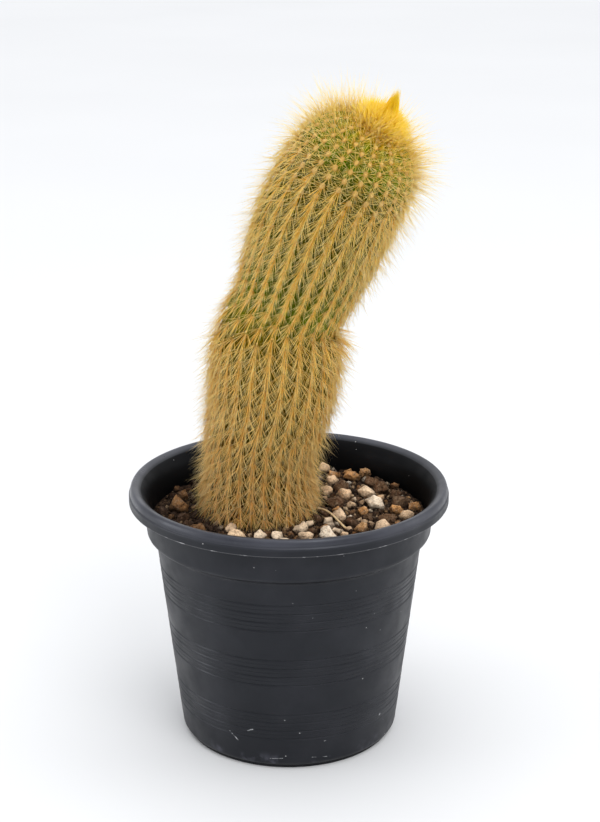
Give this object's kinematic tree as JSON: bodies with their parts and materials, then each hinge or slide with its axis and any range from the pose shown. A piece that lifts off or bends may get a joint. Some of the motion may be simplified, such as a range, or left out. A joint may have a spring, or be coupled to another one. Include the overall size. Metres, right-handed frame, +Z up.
{
  "type": "potted haageocereus",
  "caption": "leaning ribbed columnar cactus with yellow spines and a golden crown tuft, in stony mix in a black nursery pot",
  "frame": {"origin": "centre of the pot's foot, on the surface that it stands on, under the middle of the rim", "axes": "+Z up along the pot's axis; the plant leans towards +X, and a little towards -Y, its front"},
  "size_m": [0.105, 0.105, 0.218],
  "materials": {
    "black_plastic": "satin",
    "potting_mix": "rough",
    "cactus_stem": "spiny",
    "golden_spines": "satin"
  },
  "bodies": {
    "root": {"pot": "black_plastic", "soil": "potting_mix", "stem": "cactus_stem", "crown_tuft": "golden_spines"}
  },
  "joints": []
}
